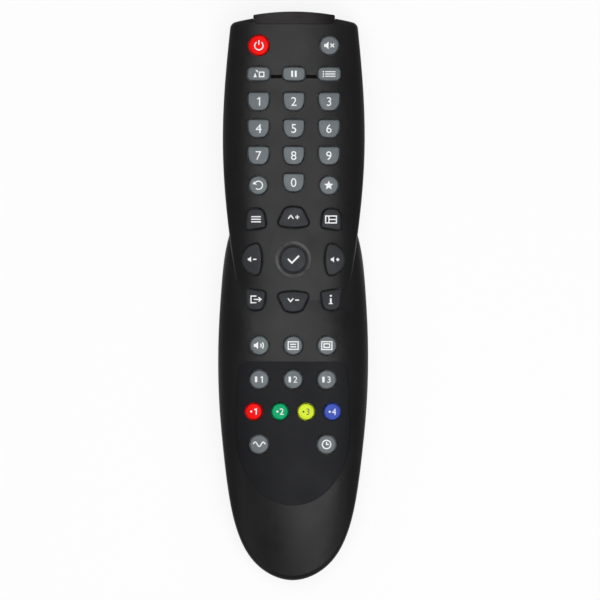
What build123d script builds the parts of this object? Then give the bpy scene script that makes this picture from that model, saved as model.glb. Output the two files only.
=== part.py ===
"""Handheld remote control for a satellite receiver.

Lengths are in millimetres.  +Y points out of the infrared end (the head), +X to the
right and +Z up out of the keys.  The origin lies under the middle, on the flat base.
The head and its keys are placed from the head end, the rest from the tail end.
"""

import os

from build123d import *

os.makedirs("parts", exist_ok=True)

# ------------------------------------------------------------------ outline from above
head_end = 94.8  # front of the infrared window, from the middle
tail_end = 94.8  # rounded tail, from the middle
head_width = 47.4
body_width = 50.0
window_proud = 1.15  # window front beyond the shell's end
head_corner = 2.4
end_bow = 2.65  # how far the head's end bulges between its corners
nose_reach = 98.8  # the head form overlaps the body form as far as this

# Sides of the head: distance from the head end and inset from the widest point.
head_side = [(3.8, 2.7), (19.8, 1.0), (39.8, 0.0), (59.8, 0.75), (72.8, 2.1), (85.8, 3.85)]
nose_shoulder = (90.4, 4.8)
nose_cheek = (93.6, 7.5)

# Sides of the body: distance from the tail end and inset from the widest point.
body_side = [
    (122.8, 6.4), (115.2, 3.5), (99.8, 1.15), (78.8, 0.0), (56.8, 0.5),
    (36.8, 2.5), (19.8, 5.45), (9.8, 9.5), (2.8, 16.0),
]

# ------------------------------------------------------------------ walls and stack
wall = 2.0
base_cut = 0.4  # the flat base cuts this far into the rounded underside
parting_z = 10.0
parting_gap = 0.1

cell_diameter = 10.5
cell_length = 44.5
cell_gap = 0.25
bay_roof = 0.8
board_thickness = 1.2
board_gap = 0.1
keymat_thickness = 0.6
key_travel = 1.0
travel_margin = 0.3
flange_thickness = 0.7
flange_gap = 0.15
face_depth = 3.65  # from the key flanges' seat to the highest point of the face

door_floor = wall - base_cut
cell_z = door_floor + cell_gap + cell_diameter / 2
bay_ceiling_z = cell_z + cell_diameter / 2 + cell_gap
board_z = bay_ceiling_z + bay_roof + board_gap
board_top_z = board_z + board_thickness
keymat_top_z = board_top_z + keymat_thickness
flange_z = keymat_top_z + travel_margin + key_travel
flange_top_z = flange_z + flange_thickness
pocket_z = flange_top_z + flange_gap
face_z = pocket_z + face_depth

# ------------------------------------------------------------------ crown of the shell
head_rim_z = 10.5
body_rim_z = 8.5
roof_margin = 0.6  # the arches span a little more than the outline
overrun = 3.2  # the arches run on past both ends
head_edge_radius = 1.6
body_edge_radius = 2.0

# ------------------------------------------------------------------ keys
key_gap = 0.42
key_proud = 1.1
key_edge_radius = 0.45
flange_width = 0.65
round_key = 6.0
power_key = 6.5
colour_key = 5.3
centre_key = 8.7
bar_key = (7.2, 4.4)
bar_bow = 0.3
bar_corner = 1.3
digit_key = (6.8, 5.8)
digit_waist = -0.3  # where the upright sides end, from the middle of the key
digit_foot = 2.3  # half the width of the foot
digit_corners = (0.9, 4.5, 2.3)  # radii at the top, the waist and the foot
corner_key = [(3.2, -3.5), (-3.5, -2.45), (-2.6, 3.7), (2.85, 3.7)]  # the upper left one
corner_key_corners = (2.3, 0.9)  # radii away from the centre key and beside it
step_foot = (5.6, -2.55)  # end of the side next to the centre key
step_crown = (3.0, 2.75)  # end of the far side
step_bow = (0.85, 0.7)  # how far the two sides bulge
step_corners = (1.2, 1.5)
side_tip = (2.3, 5.3)  # upper corner of the left key
side_bow = (3.35, -3.15)  # X of the side next to the centre key, and of the far side
side_corner = 1.2
small_dome = 18.0
large_dome = 42.0
pill_radius = 1.6
pill_gap = 0.1  # between a pressed pill and its contact pad
pad_thickness = 0.05
pad_radius = 1.7
web_hole_radius = 2.0

# Columns and rows.  Head rows are measured from the head end, tail rows from the tail.
key_column = 11.7
power_row = 11.3
bar_row = 20.8
first_digit_row = 30.0
digit_pitch = 9.0
recall_row = 57.9
centre_row = 82.55
step_reach = 14.05  # up and down keys from the centre key
side_reach = 13.9  # left and right keys from the centre key
corner_reach = (12.6, 13.15)
text_row = 78.4
memory_row = 67.1
colour_row = 56.4
lower_row = 45.5
lower_column = 11.2
colour_pitch = 8.7

# ------------------------------------------------------------------ face details
dish_radius = 9.9
dish_depth = 0.55
ring_radius = 6.0
ring_depth = 2.2
groove_width = 1.2
groove_depth = 0.8
groove_row = 21.7
panel_top = 73.0  # inlaid panel, from the tail end
panel_bottom = 25.2
panel_half = 19.0
panel_shoulder = 49.8
panel_corner = 3.3
panel_step = 0.12  # the inlay lies this far below the face
panel_thickness = 0.3
panel_gap = 0.05

# ------------------------------------------------------------------ window and emitter
window_half = 13.6
window_depth = 4.1  # from the front back to its edge on the face
window_foot_z = 5.0
window_skin = 1.4
window_bow = 1.16
window_corner = 2.0
window_edge = 0.5  # radius of the front corners
window_gap = 0.1
window_rise = 0.12
window_flange = 1.4
window_flange_top_z = 16.5
led_radius = 2.5

# ------------------------------------------------------------------ battery bay and door
door_half = 15.5
door_front = 72.8  # from the tail end
door_gap = 0.15
bay_front = 68.8
bay_length = 50.0
bay_wall = 1.2
cell_spacing = 12.0
bay_half = cell_spacing / 2 + cell_diameter / 2 + 0.35
bay_foot_z = door_floor + 1.2
rail_width = 0.8
rail_height = 0.8
slide_gap = 0.2
hook_width = 0.9
shelf_thickness = 1.2
contact_thickness = 0.4
dimple_height = 0.4
contact_play = 0.05
button_height = 1.0
button_radius = 1.9
plate_half = 4.0
tab_width = 2.0
board_edge = 1.2
body_board_edge = 3.2
body_board_front = 96.8  # from the tail end
board_tail = 39.0  # from the tail end
resistor_count = 6
spring_radius = 2.8
slot_half = 1.3
slot_depth = 0.5
hook_inset = 8.0
hook_length = 6.0
tab_half = 2.6
tab_reach = 2.5
tab_thickness = 0.8
grip_count = 4
grip_inset = 5.0
grip_pitch = 2.6
grip_length = 15.0
grip_width = 1.2
grip_depth = 0.5
spring_wire = 0.35

# ------------------------------------------------------------------ parts under the board
led_setback = 14.0  # back of the emitter, from the head end
led_drop = 0.8  # from the board to the emitter's barrel
led_collar = (2.9, 1.0)  # radius and thickness
led_barrel = 6.1
led_lead_pitch = 2.54
led_lead = 0.5  # thickness of a lead
led_lead_reach = 3.0
chip_row = 62.0  # middle of the chip, from the head end
chip_size = (7.6, 18.0, 2.3)
chip_stand = 0.2
chip_chamfer = 0.3
chip_leads = 14  # on each side
chip_lead_pitch = 1.27
chip_lead = (1.5, 0.4)  # reach from under the body, and thickness
resonator_place = (9.5, 4.0)  # X, and Y from the middle of the chip
resonator_size = (3.2, 7.4, 3.5)
resonator_corner = 1.2
capacitor_place = (-11.0, -4.0)
capacitor_size = (2.5, 8.0)  # radius and length
capacitor_edge = 0.4
capacitor_drop = 0.1  # between the can and the board
capacitor_lead = 0.4
capacitor_lead_reach = 2.0
transistor_place = (6.45, 8.35)  # X, and distance behind the emitter's back
transistor_size = (2.9, 1.3, 1.0)
transistor_lead = (0.4, 1.0, 0.3)
resistor_size = (1.2, 2.0, 0.6)
resistor_row = 15.0  # in front of the middle of the chip
resistor_pitch = 3.0

# ------------------------------------------------------------------ screws
head_screw = (18.6, 25.0)  # X, and distance from the head end
body_screw = (18.5, 85.8)  # X, and distance from the tail end
screw_radius = 1.0
screw_length = 8.0
screw_head_radius = 2.2
screw_head_height = 1.6
screw_play = 0.05
seat_z = 6.0
screw_hole_top_z = parting_z + screw_length - 3.0
well_radius = 3.4
boss_radius = 2.6
counterbore_radius = 2.5
clearance_radius = 1.2
tongue_height = 1.0
tongue_thickness = 0.9
tongue_gap = 0.1
reveal_depth = 0.5  # groove that marks the parting line outside
reveal_height = 0.25
board_posts = [(18.4, 43.5), (16.9, 9.3)]  # X, and distance from the head end
post_radius = 1.3

sky = face_z + 12.0  # well above everything; where cutting tools end


def head_y(distance):
    """Y of a place at the given distance from the head end."""
    return head_end - distance


def tail_y(distance):
    """Y of a place at the given distance from the tail end."""
    return distance - tail_end


def fall(amount, start, end, y, power=2):
    """Smooth drop that begins at start and reaches amount at end."""
    return amount * max(0.0, (y - start) / (end - start)) ** power


# ------------------------------------------------------------------ the outer form
def arch(y, half, crown, rim, squareness, base):
    """Cross-section at Y = y: a soft arch from rim height to the crown, on straight legs."""
    shoulder = 0.33 + 0.55 * squareness
    rise = 64 * (crown - rim) / (12 * shoulder + 50)
    right = [(half, rim), (half, rim + shoulder * rise), (half * squareness, rim + rise)]
    left = [(-x, z) for x, z in reversed(right)]
    with BuildSketch(Plane((0, y, 0), x_dir=(1, 0, 0), z_dir=(0, -1, 0))) as profile:
        with BuildLine():
            Bezier(*right, (0, rim + rise), *left)
            Polyline(left[-1], (-half, base), (half, base), right[0])
        make_face()
    return profile.sketch.face()


def spread(first, last, count):
    """Evenly spaced stations from first to last."""
    return [first + (last - first) * i / (count - 1) for i in range(count)]


def head_roof(inset):
    """Space under the head's face."""
    front, widest, back = head_y(-overrun), head_y(46.8), head_y(104.8)
    summit = head_y(59.8)
    sections = []
    for y in spread(front, back, 9):
        half = head_width / 2 + roof_margin - fall(3.4, widest, front, y) - fall(3.2, widest, back, y)
        crown = face_z - 0.1 - fall(1.5, summit, front, y) - fall(1.2, summit, back, y)
        sections.append(arch(y, half - inset, crown - inset, head_rim_z, 0.94, -5))
    return loft(sections)


def body_roof(inset):
    """Space under the body's face."""
    front, back = tail_y(126.8), tail_y(-overrun)
    widest, dip, slope = tail_y(76.8), tail_y(64.8), tail_y(82.8)
    sections = []
    for y in spread(front, back, 11):
        half = body_width / 2 + roof_margin - fall(6.0, widest, front, y) - fall(7.6, widest, back, y)
        crown = face_z - fall(8.9, dip, front, y, 3) - fall(7.7, slope, back, y, 2.5)
        square = 0.94 - fall(0.14, widest, front, y) - fall(0.4, widest, back, y)
        sections.append(arch(y, half - inset, crown - inset, body_rim_z, square, -5))
    return loft(sections)


def underside(inset):
    """Space above the gently rounded underside, open at the top."""
    front, back = head_y(-overrun), tail_y(-overrun)
    head_lift, tail_lift = head_y(34.8), tail_y(16.8)
    sections = []
    for y in spread(front, back, 13):
        lowest = fall(3.0, head_lift, front, y) + fall(4.4, tail_lift, back, y) - base_cut
        half = body_width / 2 + roof_margin
        sections.append(arch(y, half - inset, lowest + inset, body_rim_z, 0.9, sky))
    return loft(sections)


def drawn_in(edge, inset, count):
    """Points beside a clockwise curve, at the given distance inside it."""
    points = []
    for t in spread(0, 1, count):
        along = edge % t
        points.append(edge @ t + Vector(along.Y, -along.X) * inset)
    return points


def head_plan(inset):
    """Outline of the head form from above, with the rounded nose that overlaps the body."""
    points = [(head_width / 2 - x, head_y(y)) for y, x in head_side]
    corner = Vector(points[0][0] + 0.15, head_y(window_proud + end_bow))
    cheek = (head_width / 2 - nose_cheek[1], head_y(nose_cheek[0]))
    shoulder = (head_width / 2 - nose_shoulder[1], head_y(nose_shoulder[0]))
    side = Spline(corner, *points[1:])
    nose = ThreePointArc(cheek, (0, head_y(nose_reach)), (-cheek[0], cheek[1]))
    turn = Spline(points[-1], shoulder, cheek, tangents=[side % 1, nose % 0])
    corner -= Vector(inset, inset)
    inner_side = [corner] + drawn_in(side, inset, 7)[1:]
    inner_turn = drawn_in(turn, inset, 5)
    cheek = inner_turn[-1]
    with BuildSketch() as plan:
        with BuildLine():
            edge = Spline(*inner_side)
            bend = Spline(*inner_turn)
            mirror(edge, about=Plane.YZ)
            mirror(bend, about=Plane.YZ)
            ThreePointArc(corner, (0, head_y(window_proud) - inset), (-corner.X, corner.Y))
            ThreePointArc(cheek, (0, head_y(nose_reach) + inset), (-cheek.X, cheek.Y))
        make_face()
        fillet(plan.vertices().group_by(Axis.Y)[-1], max(head_corner - inset, 0.3))
    return plan.sketch


def body_plan(inset):
    """Outline of the body form from above; its straight end is buried in the head."""
    right = [(body_width / 2 - x, tail_y(y)) for y, x in body_side]
    left = [(-x, y) for x, y in reversed(right)]
    points = drawn_in(Spline(*right, (0, -tail_end), *left), inset, 21)
    with BuildSketch() as plan:
        with BuildLine():
            Spline(*points)
            Line(points[0], points[-1])
        make_face()
    return plan.sketch


def form(plan, roof, inset):
    """One rounded form: its outline extruded, under its roof and above the underside."""
    outline = plan(inset)
    ceiling = roof(inset)
    bed = underside(inset)
    with BuildPart() as solid:
        extrude(outline, amount=sky)
        add(ceiling, mode=Mode.INTERSECT)
        add(bed, mode=Mode.INTERSECT)
    return solid


head = form(head_plan, head_roof, 0)
with head:
    fillet(head.faces().sort_by(Axis.Z)[-1].edges(), head_edge_radius)
body = form(body_plan, body_roof, 0)
with body:
    fillet(body.faces().sort_by(Axis.Z)[-1].edges(), body_edge_radius)

with BuildPart() as outer:
    add(head.part)
    add(body.part)

head_inside = form(head_plan, head_roof, wall)
body_inside = form(body_plan, body_roof, wall)
with BuildPart() as cavity:
    add(head_inside.part)
    add(body_inside.part)


def face_at(x, y):
    """Point and normal of the outer form's face above (x, y)."""
    hits = outer.part.find_intersection_points(Axis((x, y, -1), (0, 0, 1)))
    return max(hits, key=lambda hit: hit[0].Z)


# ------------------------------------------------------------------ key outlines
def round_outline(diameter):
    """Round key."""
    with BuildSketch() as outline:
        Circle(diameter / 2)
    return outline.sketch


def bar_outline():
    """Wide key with bowed long sides."""
    half, side = bar_key[0] / 2, bar_key[1] / 2 - bar_bow
    with BuildSketch() as outline:
        with BuildLine():
            top = ThreePointArc((-half, side), (0, side + bar_bow), (half, side))
            mirror(top, about=Plane.XZ)
            Line((half, side), (half, -side))
            Line((-half, side), (-half, -side))
        make_face()
        fillet(outline.vertices(), bar_corner)
    return outline.sketch


def corners_at(outline, height):
    """Corners of an outline that lie off its middle at the given Y."""
    return outline.vertices().filter_by(lambda v: abs(v.Y - height) < 0.01 and abs(v.X) > 0.01)


def digit_outline():
    """Shield: broad along the top, drawn in towards a rounded foot."""
    half, top = digit_key[0] / 2, digit_key[1] / 2
    with BuildSketch() as outline:
        with BuildLine():
            side = Polyline((0, top), (half, top), (half, digit_waist), (digit_foot, -top), (0, -top))
            mirror(side, about=Plane.YZ)
        make_face()
        for height, radius in zip((top, digit_waist, -top), digit_corners):
            fillet(corners_at(outline, height), radius)
    return outline.sketch


def corner_outline(across, up):
    """Rounded quadrilateral whose broad shoulder points away from the centre key."""
    with BuildSketch() as outline:
        with BuildLine():
            Polyline(*corner_key, close=True)
        make_face()
        fillet(outline.vertices().group_by(Axis.Y)[-1], corner_key_corners[0])
    with BuildSketch() as placed:
        add(outline.sketch)
        fillet(placed.vertices().sort_by(Axis.Y)[:2], corner_key_corners[1])
        if across < 0:
            mirror(about=Plane.YZ, mode=Mode.REPLACE)
        if up < 0:
            mirror(about=Plane.XZ, mode=Mode.REPLACE)
    return placed.sketch


def step_outline(up):
    """Fan-shaped key above or below the centre key."""
    with BuildSketch() as outline:
        with BuildLine():
            x, y = step_foot
            base = ThreePointArc((-x, y), (0, y - step_bow[0]), (x, y))
            x, y = step_crown
            crown = ThreePointArc((-x, y), (0, y + step_bow[1]), (x, y))
            Line(base @ 0, crown @ 0)
            Line(base @ 1, crown @ 1)
        make_face()
        fillet(outline.vertices().group_by(Axis.Y)[0], step_corners[0])
        fillet(outline.vertices().filter_by(lambda v: v.Y > 0), step_corners[1])
        if up < 0:
            mirror(about=Plane.XZ, mode=Mode.REPLACE)
    return outline.sketch


def side_outline(across):
    """Lens-shaped key left or right of the centre key."""
    with BuildSketch() as outline:
        with BuildLine():
            inner = ThreePointArc(side_tip, (side_bow[0], 0), (side_tip[0], -side_tip[1]))
            ThreePointArc(inner @ 0, (side_bow[1], 0), inner @ 1)
        make_face()
        fillet(outline.vertices(), side_corner)
        if across > 0:
            mirror(about=Plane.YZ, mode=Mode.REPLACE)
    return outline.sketch


# Every key: name, outline, X, Y and radius of its domed top.
keys = [
    ("key_power", round_outline(power_key), -key_column, head_y(power_row), small_dome),
    ("key_mute", round_outline(round_key), key_column, head_y(power_row), small_dome),
    ("key_source", bar_outline(), -key_column, head_y(bar_row), small_dome),
    ("key_pause", bar_outline(), 0, head_y(bar_row), small_dome),
    ("key_list", bar_outline(), key_column, head_y(bar_row), small_dome),
    ("key_recall", round_outline(round_key), -key_column, head_y(recall_row), small_dome),
    ("key_favourite", round_outline(round_key), key_column, head_y(recall_row), small_dome),
    ("key_ok", round_outline(centre_key), 0, head_y(centre_row), large_dome),
    ("key_output", round_outline(round_key), -lower_column, tail_y(lower_row), small_dome),
    ("key_timer", round_outline(round_key), lower_column, tail_y(lower_row), small_dome),
]
for number in range(1, 10):
    line, column = divmod(number - 1, 3)
    row = head_y(first_digit_row + line * digit_pitch)
    keys.append((f"key_{number}", digit_outline(), (column - 1) * key_column, row, small_dome))
keys.append(("key_0", digit_outline(), 0, head_y(first_digit_row + 3 * digit_pitch), small_dome))
for name, up in (("key_up", 1), ("key_down", -1)):
    row = head_y(centre_row) + up * step_reach
    keys.append((name, step_outline(up), 0, row, large_dome))
for name, across in (("key_left", -1), ("key_right", 1)):
    keys.append((name, side_outline(across), across * side_reach, head_y(centre_row), large_dome))
corner_keys = (("key_menu", -1, 1), ("key_guide", 1, 1), ("key_exit", -1, -1), ("key_info", 1, -1))
for name, across, up in corner_keys:
    row = head_y(centre_row) + up * corner_reach[1]
    keys.append((name, corner_outline(across, up), across * corner_reach[0], row, large_dome))
for name, across in (("key_sound", -1), ("key_text", 0), ("key_page", 1)):
    keys.append((name, round_outline(round_key), across * lower_column, tail_y(text_row), small_dome))
for number in (1, 2, 3):
    place = ((number - 2) * lower_column, tail_y(memory_row))
    keys.append((f"key_memory_{number}", round_outline(round_key), *place, small_dome))
for number, colour in enumerate(("red", "green", "yellow", "blue")):
    place = ((number - 1.5) * colour_pitch, tail_y(colour_row))
    keys.append((f"key_{colour}", round_outline(colour_key), *place, small_dome))

for name, outline, x, y, dome in keys:
    point, normal = face_at(x, y)
    summit = point + normal * key_proud
    with BuildPart() as key:
        with BuildSketch(Plane((x, y, flange_top_z))):
            add(outline)
        extrude(amount=sky - flange_top_z)
        with Locations(summit - normal * dome):
            Sphere(dome, mode=Mode.INTERSECT)
        fillet(key.faces().sort_by(Axis.Z)[-1].edges(), key_edge_radius)
        with BuildSketch(Plane((x, y, flange_z))):
            offset(outline, amount=flange_width)
        extrude(amount=flange_thickness)
        with BuildSketch(Plane((x, y, flange_z))):
            Circle(pill_radius)
        extrude(amount=board_top_z + pad_thickness + pill_gap + key_travel - flange_z)
    key.part.label = name
    export_step(key.part, f"parts/{name}.step")


# ------------------------------------------------------------------ shared outlines and places
def block(xs, ys, zs, mode=Mode.ADD):
    """Box between three pairs of limits, in the part being built."""
    low, high = zip(xs, ys, zs)
    with Locations(tuple((a + b) / 2 for a, b in zip(low, high))):
        Box(*(b - a for a, b in zip(low, high)), mode=mode)


def column(x, y, zs, radius, mode=Mode.ADD):
    """Upright cylinder between two heights, in the part being built."""
    with Locations((x, y, sum(zs) / 2)):
        Cylinder(radius, zs[1] - zs[0], mode=mode)


def shell_plan(inset):
    """Outline of head and body together, drawn in by inset."""
    parts = (head_plan(inset), body_plan(inset))
    with BuildSketch() as plan:
        add(parts)
    return plan.sketch


def finish(part, name):
    """Label a finished piece and write it to its own file."""
    part.part.label = name
    export_step(part.part, f"parts/{name}.step")


screws = [(side * head_screw[0], head_y(head_screw[1])) for side in (-1, 1)]
screws += [(side * body_screw[0], tail_y(body_screw[1])) for side in (-1, 1)]
posts = [(side * x, head_y(y)) for side in (-1, 1) for x, y in board_posts]
parting = Plane.XY.offset(parting_z)
door_y = tail_y(door_front)
bay_y = (tail_y(bay_front - bay_length), tail_y(bay_front))
bay_side = bay_half + bay_wall
contact_slots = [(side * cell_spacing / 2, bay_y[1] - contact_thickness / 2) for side in (-1, 1)]
shelf_z = (parting_z - shelf_thickness, parting_z)
opening_half = door_half + door_gap

inner_plan = shell_plan(wall)
tongue_plan = shell_plan(wall - tongue_thickness)
groove_plan = shell_plan(wall - tongue_thickness - tongue_gap)
reveal_plan = shell_plan(reveal_depth)


# ------------------------------------------------------------------ infrared window
def window_plan(grow):
    """Outline of the window from above, with rounded corners on the face."""
    half, back, ends = window_half + grow, head_y(window_depth + grow), head_y(window_bow)
    with BuildSketch() as plan:
        with BuildLine():
            front = ThreePointArc((half, ends), (0, head_end + grow), (-half, ends))
            Polyline(front @ 0, (half, back), (-half, back), front @ 1)
        make_face()
        rows = plan.vertices().group_by(Axis.Y)
        fillet(rows[0], window_corner)
        if not grow:
            fillet(plan.vertices().filter_by(lambda v: v.Y > ends - 0.1), window_edge)
    return plan.sketch


window_outline = window_plan(0)
window_roof = head_roof(-window_rise)
window_ceiling = head_roof(window_skin)
flange_y = (head_y(window_depth + 1.8), head_y(window_depth + 0.9))
flange_z_range = (window_foot_z - 0.5, window_flange_top_z)
hollow_half = window_half - window_skin

with BuildPart() as window_hollow:
    block(
        (-hollow_half, hollow_half),
        (flange_y[0] - 1, head_y(window_depth)),
        (window_foot_z + window_skin, window_flange_top_z - window_skin),
    )
    block(
        (-hollow_half, hollow_half),
        (head_y(window_depth) - 0.1, head_y(window_bow + window_skin)),
        (window_foot_z + window_skin, sky),
    )
    add(window_ceiling, mode=Mode.INTERSECT)

with BuildPart() as ir_window:
    with BuildSketch(Plane.XY.offset(window_foot_z)):
        add(window_outline)
    extrude(amount=sky - window_foot_z)
    add(window_roof, mode=Mode.INTERSECT)
    neck = (flange_y[0], head_y(window_depth - window_corner))
    block((-window_half, window_half), neck, (window_foot_z, window_flange_top_z))
    flange_half = window_half + window_flange
    block((-flange_half, flange_half), flange_y, flange_z_range)
    add(window_hollow.part, mode=Mode.SUBTRACT)
finish(ir_window, "ir_window")

# ------------------------------------------------------------------ keypad inlay
def panel_plan(grow):
    """Outline of the inlaid panel from above: square-shouldered top, rounded foot."""
    top, shoulder, foot = tail_y(panel_top), tail_y(panel_shoulder), tail_y(panel_bottom)
    top, foot, half = top + grow, foot - grow, panel_half + grow
    reach = half - 1.4
    with BuildSketch() as plan:
        with BuildLine():
            side = Bezier((reach, top), (reach + 1.0, top - 8), (half, shoulder + 10), (half, shoulder))
            bowl = Bezier(side @ 1, (half, shoulder - 13.5), (11.0, foot), (0, foot))
            mirror(side, about=Plane.YZ)
            mirror(bowl, about=Plane.YZ)
            Line((reach, top), (-reach, top))
        make_face()
        fillet(plan.vertices().group_by(Axis.Y)[-1], panel_corner)
    return plan.sketch


panel_outline = panel_plan(0)
recess_outline = panel_plan(panel_gap)
panel_roof = body_roof(panel_step)
panel_bed = body_roof(panel_step + panel_thickness)
recess_bed = body_roof(panel_step + panel_thickness + panel_gap)


def key_prisms(grow, low, high):
    """Upright prisms of every key's outline, grown sideways, between two heights."""
    with BuildPart() as prisms:
        for name, outline, x, y, dome in keys:
            with BuildSketch(Plane((x, y, low))):
                offset(outline, amount=grow)
        extrude(amount=high - low)
    return prisms.part


key_holes = key_prisms(key_gap, pocket_z - 1, sky)
key_pockets = key_prisms(key_gap + flange_width, keymat_top_z, pocket_z)

with BuildPart() as keypad_inlay:
    with BuildSketch(parting):
        add(panel_outline)
    extrude(amount=sky - parting_z)
    add(panel_roof, mode=Mode.INTERSECT)
    add(panel_bed, mode=Mode.SUBTRACT)
    add(key_holes, mode=Mode.SUBTRACT)
finish(keypad_inlay, "keypad_inlay")

# ------------------------------------------------------------------ front shell
with BuildPart() as front_cavity:
    add(cavity.part)
    split(bisect_by=parting, keep=Keep.TOP)
    for x, y in screws:
        column(x, y, (parting_z - 1, sky), boss_radius, Mode.SUBTRACT)
    for x, y in posts:
        column(x, y, (keymat_top_z + board_gap, sky), post_radius, Mode.SUBTRACT)

groove_roof = head_roof(groove_depth)
with BuildPart() as bar_groove:
    with BuildSketch(Plane((0, head_y(groove_row), parting_z))):
        SlotCenterToCenter(2 * key_column, groove_width)
    extrude(amount=sky)
    add(groove_roof, mode=Mode.SUBTRACT)

with BuildPart() as panel_recess:
    with BuildSketch(parting):
        add(recess_outline)
    extrude(amount=sky)
    add(recess_bed, mode=Mode.SUBTRACT)

window_hole = window_plan(window_gap)
neck_x = (-window_half - window_gap, window_half + window_gap)
neck_y = (flange_y[0], 2 * head_end)
centre_y = head_y(centre_row)
centre_z = face_at(0, centre_y)[0].Z
dish_curve = (dish_radius**2 + dish_depth**2) / (2 * dish_depth)

with BuildPart() as front_shell:
    add(outer.part)
    split(bisect_by=parting, keep=Keep.TOP)
    add(front_cavity.part, mode=Mode.SUBTRACT)
    add(bar_groove.part, mode=Mode.SUBTRACT)
    add(panel_recess.part, mode=Mode.SUBTRACT)
    with Locations((0, centre_y, centre_z + dish_curve - dish_depth)):
        Sphere(dish_curve, mode=Mode.SUBTRACT)
    column(0, centre_y, (centre_z - dish_depth - ring_depth, sky), ring_radius, Mode.SUBTRACT)
    add(key_holes, mode=Mode.SUBTRACT)
    add(key_pockets, mode=Mode.SUBTRACT)
    with BuildSketch(parting):
        add(groove_plan)
        add(inner_plan, mode=Mode.SUBTRACT)
    extrude(amount=tongue_height + tongue_gap, mode=Mode.SUBTRACT)
    with BuildSketch(parting):
        Rectangle(4 * body_width, 4 * tail_end)
        add(reveal_plan, mode=Mode.SUBTRACT)
    extrude(amount=reveal_height, mode=Mode.SUBTRACT)
    with BuildSketch(parting):
        add(window_hole)
    extrude(amount=sky, mode=Mode.SUBTRACT)
    block(neck_x, neck_y, (parting_z, window_flange_top_z + window_gap), Mode.SUBTRACT)
    for x, y in screws:
        column(x, y, (parting_z - 1, screw_hole_top_z), screw_radius + screw_play, Mode.SUBTRACT)
finish(front_shell, "front_shell")

# ------------------------------------------------------------------ rear shell
bay_top_z = bay_ceiling_z + bay_roof
rail_z = (bay_foot_z, bay_foot_z + rail_height)
well_shell_z = (-1, parting_z + 1)
with BuildPart() as rear_cavity:
    add(cavity.part)
    split(bisect_by=parting, keep=Keep.BOTTOM)
    for x, y in screws:
        column(x, y, well_shell_z, well_radius, Mode.SUBTRACT)
    for x, y in posts:
        column(x, y, well_shell_z, post_radius, Mode.SUBTRACT)
    for side in (-1, 1):
        edges = sorted((side * bay_side, side * body_width))
        block(edges, bay_y, shelf_z, Mode.SUBTRACT)

with BuildPart() as rear_shell:
    add(outer.part)
    split(bisect_by=parting, keep=Keep.BOTTOM)
    add(rear_cavity.part, mode=Mode.SUBTRACT)
    with BuildSketch(parting):
        add(tongue_plan)
        add(inner_plan, mode=Mode.SUBTRACT)
    extrude(amount=tongue_height)
    for x, y in posts:
        column(x, y, (parting_z - 2, board_z), post_radius)
    # Opening for the door, and the battery bay that stands in it
    block((-opening_half, opening_half), (-2 * tail_end, door_y + door_gap), (-1, sky), Mode.SUBTRACT)
    for side in (-1, 1):
        edges = sorted((side * (bay_side - bay_wall / 2), side * (opening_half + 0.5)))
        block(edges, bay_y, shelf_z)
        rail = sorted((side * (bay_side - bay_wall / 2), side * (bay_side + rail_width)))
        block(rail, bay_y, rail_z)
    walls_y = (bay_y[0] - bay_wall, bay_y[1] + bay_wall)
    block((-bay_side, bay_side), walls_y, (bay_foot_z, bay_top_z))
    block((-bay_half, bay_half), bay_y, (-1, bay_ceiling_z), Mode.SUBTRACT)
    for x, y in contact_slots:
        slot = ((x - slot_half, x + slot_half), (y - slot_depth, y + slot_depth), (bay_foot_z, sky))
        block(*slot, Mode.SUBTRACT)
    # Window notch and screw holes
    block(neck_x, neck_y, (window_foot_z - window_gap, sky), Mode.SUBTRACT)
    notch = window_half + window_flange + window_gap
    block((-notch, notch), (flange_y[0] - 1, flange_y[1] + window_gap), (parting_z, sky), Mode.SUBTRACT)
    for x, y in screws:
        column(x, y, (-1, seat_z), counterbore_radius, Mode.SUBTRACT)
        column(x, y, (-1, sky), clearance_radius, Mode.SUBTRACT)
finish(rear_shell, "rear_shell")

# ------------------------------------------------------------------ battery door
flat_half = door_half - hook_width
upright = (bay_side + rail_width + slide_gap, bay_side + rail_width + slide_gap + hook_width)
lip_z = (rail_z[1] + slide_gap, rail_z[1] + slide_gap + rail_height)
with BuildPart() as battery_door:
    add(outer.part)
    split(bisect_by=Plane.XY.offset(parting_z - parting_gap), keep=Keep.BOTTOM)
    block((-door_half, door_half), (-2 * tail_end, door_y), (-1, sky), Mode.INTERSECT)
    add(cavity.part, mode=Mode.SUBTRACT)
    block((-flat_half, flat_half), (bay_y[0] - 2, door_y + 1), (door_floor, sky), Mode.SUBTRACT)
    for side in (-1, 1):
        for y in (bay_y[1] - hook_inset, bay_y[0] + hook_inset):
            stretch = (y - hook_length / 2, y + hook_length / 2)
            block(sorted((side * upright[0], side * upright[1])), stretch, (door_floor - 0.5, lip_z[1]))
            lip = sorted((side * (bay_side + slide_gap + 0.1), side * upright[1]))
            block(lip, stretch, lip_z)
    tab_z = (door_floor + slide_gap, door_floor + slide_gap + tab_thickness)
    block((-tab_half, tab_half), (door_y - tab_reach, door_y), (door_floor - 0.5, tab_z[1]))
    block((-tab_half, tab_half), (door_y - tab_reach, door_y + tab_reach), tab_z)
    for step in range(grip_count):
        with BuildSketch(Plane((0, door_y - grip_inset - step * grip_pitch, 0))):
            SlotOverall(grip_length, grip_width)
        extrude(amount=grip_depth, mode=Mode.SUBTRACT)
finish(battery_door, "battery_door")

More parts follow.
